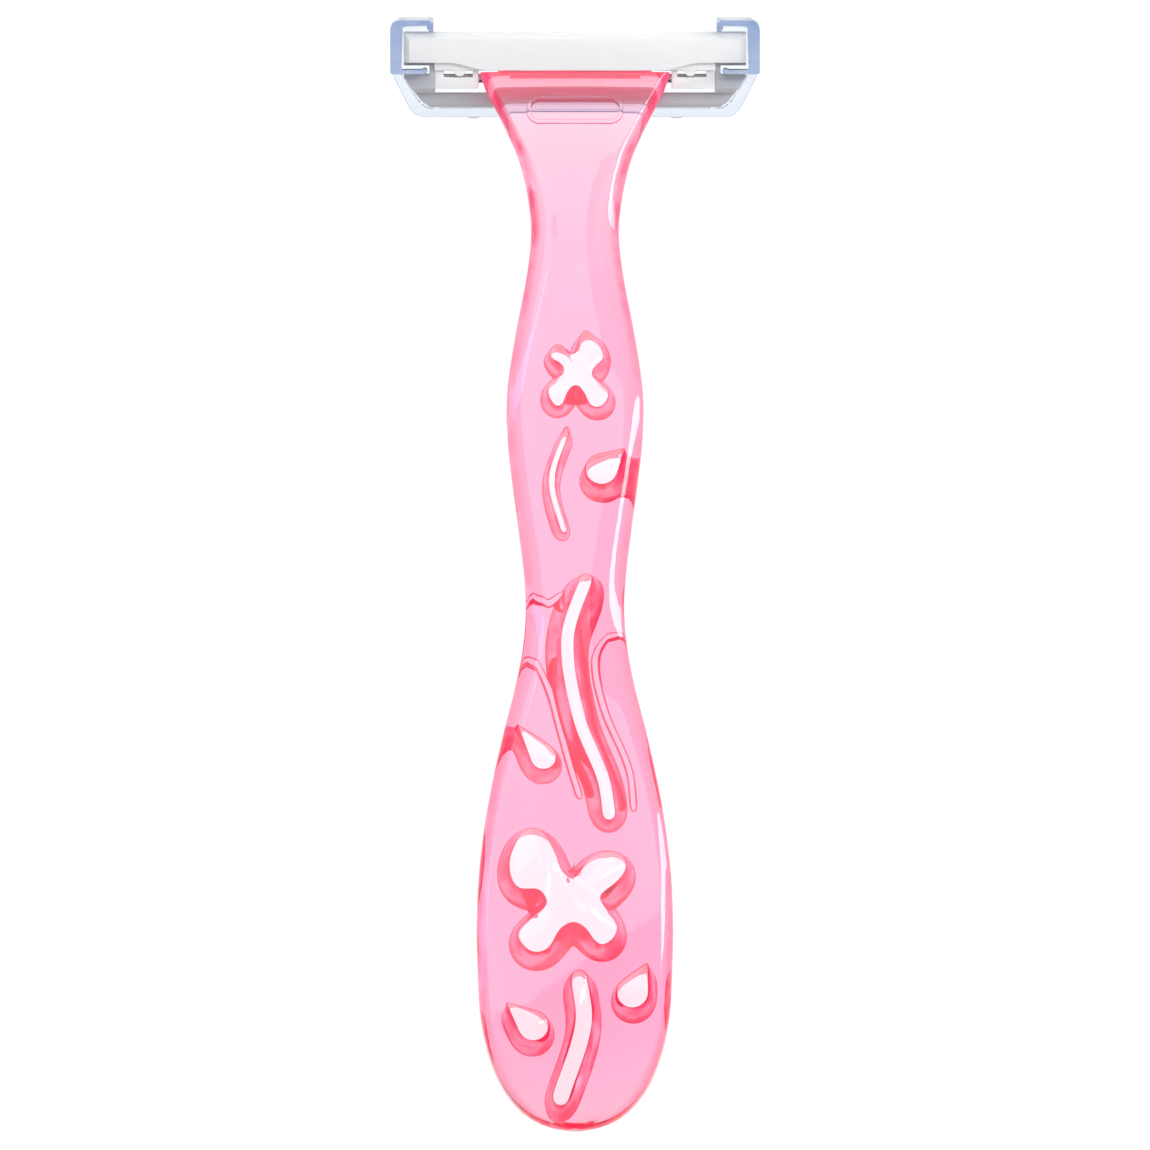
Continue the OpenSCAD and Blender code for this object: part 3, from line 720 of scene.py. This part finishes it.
lubricating = mesh_object("lubricating_polymer_strip", prism(
    [(2.65, 0.6, 0), (2.65, -0.25, 0.1), (2.95, -0.4, 0.15), (3.85, -0.45, 0.15), (4.15, -0.3, 0.1),
     (4.15, 0.6, 0)],
    -STRIP_HALF, STRIP_HALF, 0.08, lengthwise=True))
smooth(lubricating, 40)
stands_for(lubricating, "lubricating_strip", "razor")
waxy = Finish("lubricating_polymer", Specular_IOR_Level=0.45, Subsurface_Weight=0.15)
waxy.fill(waxy.shader, {
    "Base Color": waxy.blend(waxy.noise(0.6, 3, (0.2, 1, 1)), (0.62, 0.8, 0.66), (0.74, 0.87, 0.76)),
    "Roughness": 0.42 + waxy.noise(0.3) * 0.2})
waxy.bump(waxy.noise(0.1, 3, (0.1, 1, 1)), 0.008)
waxy.on(lubricating)

# --- Cover ------------------------------------------------------------------------------------
# Clear, faintly blue moulding that snaps over the blades: a flat plate with a low wall round the guard
# side, and at each end a tall C-shaped wall whose hook grips the back of the head.

COVER_HALF, COVER_LOW, COVER_HIGH = 22.75, -6.1, 6.1
PLATE_IN, TOWER_TOP, GUARD_WALL_TOP = -1.7, 6.3, 1.4
WALL = 1.0


def cover_outline(inset):
    """The cover's shape seen from the face, wide at the cap and narrower at the guard."""
    x, low, high = COVER_HALF - inset, COVER_LOW + inset, COVER_HIGH - inset
    right = [(x, high, 1.3), (x, -0.5, 0.8), (x - 2.35, low + 0.9, 0.7), (x - 3.45, low, 0.5)]
    return right + [(-a, b, r) for a, b, r in reversed(right)]


cover = mesh_object("cover_moulding", prism(cover_outline(0), -PLATE_OUT, GUARD_WALL_TOP, 0.14))
combine(cover, prism(cover_outline(WALL), PLATE_IN, GUARD_WALL_TOP + 1, 0.12), "DIFFERENCE")
MIDDLE_X, MIDDLE_V = 17.5, 4
combine(cover, prism([(-MIDDLE_X, MIDDLE_V, 0.5), (MIDDLE_X, MIDDLE_V, 0.5), (MIDDLE_X, 8, 0),
                      (-MIDDLE_X, 8, 0)], -4, 4, 0), "DIFFERENCE")
C_WALL = [(22.75, -0.55, 0.35), (22.75, 6.1, 1.3), (17.8, 6.1, 0.5), (17.4, 5.5, 0.3), (17.4, 5.35, 0.1),
          (18.3, 5.45, 0.2), (21.25, 5.3, 0.2), (21.35, -0.55, 0.1)]
TURNED_END = [(17.4, 5.9, 0.2), (18.3, 5.9, 0.1), (18.3, 5.2, 0.2), (18, 4.7, 0.15), (17.4, 4.7, 0.2)]
HOOK = [(22, -0.55, 0), (22, 0.1, 0), (18.9, 0.1, 0.1), (18.4, 0.35, 0.3), (18.05, -0.15, 0.3),
        (18.5, -0.6, 0.3), (19.3, -0.55, 0.1)]
RIB = [(18.65, -4.6, 0.1), (19.15, -4.6, 0.1), (19.15, -1.8, 0.1), (18.65, -1.8, 0.1)]
LEDGE = [(17.5, -3.25, 0.08), (20.3, -3.25, 0.08), (20.3, -2.95, 0.08), (17.5, -2.95, 0.08)]
STUD = [(16.7, -5.2, 0), (17.5, -5.2, 0), (17.5, -4.7, 0.1), (16.7, -4.7, 0.1)]
GRIP = [(11.9, -6.25, 0.05), (13.2, -6.25, 0.05), (13.2, -6.05, 0), (11.9, -6.05, 0)]
END_PARTS = [(C_WALL, -PLATE_OUT + 0.02, TOWER_TOP, 0.16), (TURNED_END, 5.1, TOWER_TOP - 0.01, 0.12),
             (HOOK, 4.45, TOWER_TOP - 0.02, 0.12), (RIB, PLATE_IN - 0.1, -0.2, 0.08),
             (LEDGE, PLATE_IN - 0.1, -1.2, 0.05), (STUD, PLATE_IN - 0.1, 0, 0.08),
             (GRIP, -1.8, GUARD_WALL_TOP - 0.01, 0.04)]
for outline, low, high, edge in END_PARTS:
    for side in (1, -1):
        combine(cover, prism([(side * a, b, r) for a, b, r in outline], low, high, edge), "UNION")
smooth(cover)
note_facing(cover)
stands_for(cover, "cover", "cover")
clear_blue = Finish("clear_blue_moulding", Transmission_Weight=1.0, IOR=PLASTIC_IOR)
# Painted shade: dark blue in the base colour on the rounded edges and on the flat tops of the end towers.
rounded = (clear_blue.spread(clear_blue.steep(), 0.06, 0.3, 0.0, 1.0)
           * clear_blue.spread(clear_blue.steep(), 0.6, 0.9, 1.0, 0.1))
tower = clear_blue.spread(clear_blue.across(2), 5 * MM, 10.5 * MM, 0.0, 0.75)
level = clear_blue.spread(clear_blue.facing(), 0.7, 0.95, 0.0, 1.0)
painted_dark_blue = rounded * 0.7 + tower * level * (0.9 + clear_blue.noise(3.0) * 0.5)
clear_blue.fill(clear_blue.shader, {"Roughness": 0.01 + clear_blue.noise(4.0) * 0.03,
                                    "Base Color": clear_blue.blend(painted_dark_blue, (0.98, 0.99, 1),
                                                                   (0.1, 0.19, 0.42))})
clear_blue.inside((0.08, 0.38, 0.78), 45.0)
clear_blue.bump(clear_blue.noise(6.0, 1), 0.01)
clear_blue.on(cover)

# --- Studio -----------------------------------------------------------------------------------
# A plain pale floor, low enough for the cover when it is pulled off, a long soft light along the right
# side, one overhead and a surround that is palest near the floor.

FLOOR_DROP = 0.0195
floor_mesh = bmesh.new()
bmesh.ops.create_grid(floor_mesh, x_segments=1, y_segments=1, size=3)
bmesh.ops.translate(floor_mesh, vec=(0, 0, -FLOOR_DROP), verts=floor_mesh.verts)
floor = mesh_object("studio_floor", floor_mesh)
floor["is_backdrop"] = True
floor_finish = Finish("studio_floor", Base_Color=(0.25, 0.25, 0.25, 1), Roughness=0.9,
                      Specular_IOR_Level=0.0, Emission_Color=(1, 1, 1, 1), Emission_Strength=0.85)
floor_finish.on(floor)


def softbox(name, size, power, place, target=(0, 0, 0)):
    """A rectangular area light aimed at a point."""
    light = bpy.data.lights.new(name, "AREA")
    light.shape = "RECTANGLE"
    light.size, light.size_y = size
    light.energy = power
    lamp = bpy.data.objects.new(name, light)
    bpy.context.scene.collection.objects.link(lamp)
    away = Vector(place) - Vector(target)
    lamp.matrix_world = Matrix.Translation(place) @ away.to_track_quat("Z", "Y").to_matrix().to_4x4()


softbox("right_strip", (0.07, 1.1), 3.0, (0.5, 0.14, 0.36))
softbox("overhead", (0.5, 0.5), 1.7, (-0.1, 0.25, 0.8))

world = bpy.data.worlds.new("studio")
world.use_nodes = True
sky = world.node_tree
height = sky.nodes.new("ShaderNodeSeparateXYZ")
sky.links.new(sky.nodes.new("ShaderNodeTexCoord").outputs["Generated"], height.inputs[0])
fade = sky.nodes.new("ShaderNodeMapRange")
fade.inputs["From Min"].default_value, fade.inputs["From Max"].default_value = 0.02, 0.25
sky.links.new(height.outputs["Z"], fade.inputs["Value"])
tone = sky.nodes.new("ShaderNodeMix")
tone.data_type = "RGBA"
tone.inputs[6].default_value = (1, 1, 1, 1)
tone.inputs[7].default_value = (0.53, 0.54, 0.555, 1)
sky.links.new(fade.outputs[0], tone.inputs[0])
sky.links.new(tone.outputs[2], sky.nodes["Background"].inputs["Color"])
bpy.context.scene.world = world
bpy.context.scene.view_settings.view_transform = "Standard"

CAMERA_DISTANCE = 1.2
CAMERA_ELEVATION = math.radians(76)
VIEW_SIZE = 0.1402
AIM_BACK = 0.0018
SENSOR = 36.0
low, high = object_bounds()
aim = (Vector(low) + Vector(high)) / 2 - Vector((0, AIM_BACK, 0))
camera_data = bpy.data.cameras.new("camera")
camera_data.sensor_width = SENSOR
camera_data.lens = SENSOR * CAMERA_DISTANCE / VIEW_SIZE
camera_data.clip_end = 10
camera = bpy.data.objects.new("camera", camera_data)
bpy.context.scene.collection.objects.link(camera)
away = Vector((0, -math.cos(CAMERA_ELEVATION), math.sin(CAMERA_ELEVATION)))
camera.location = aim + away * CAMERA_DISTANCE
camera.rotation_euler = away.to_track_quat("Z", "Y").to_euler()
bpy.context.scene.camera = camera
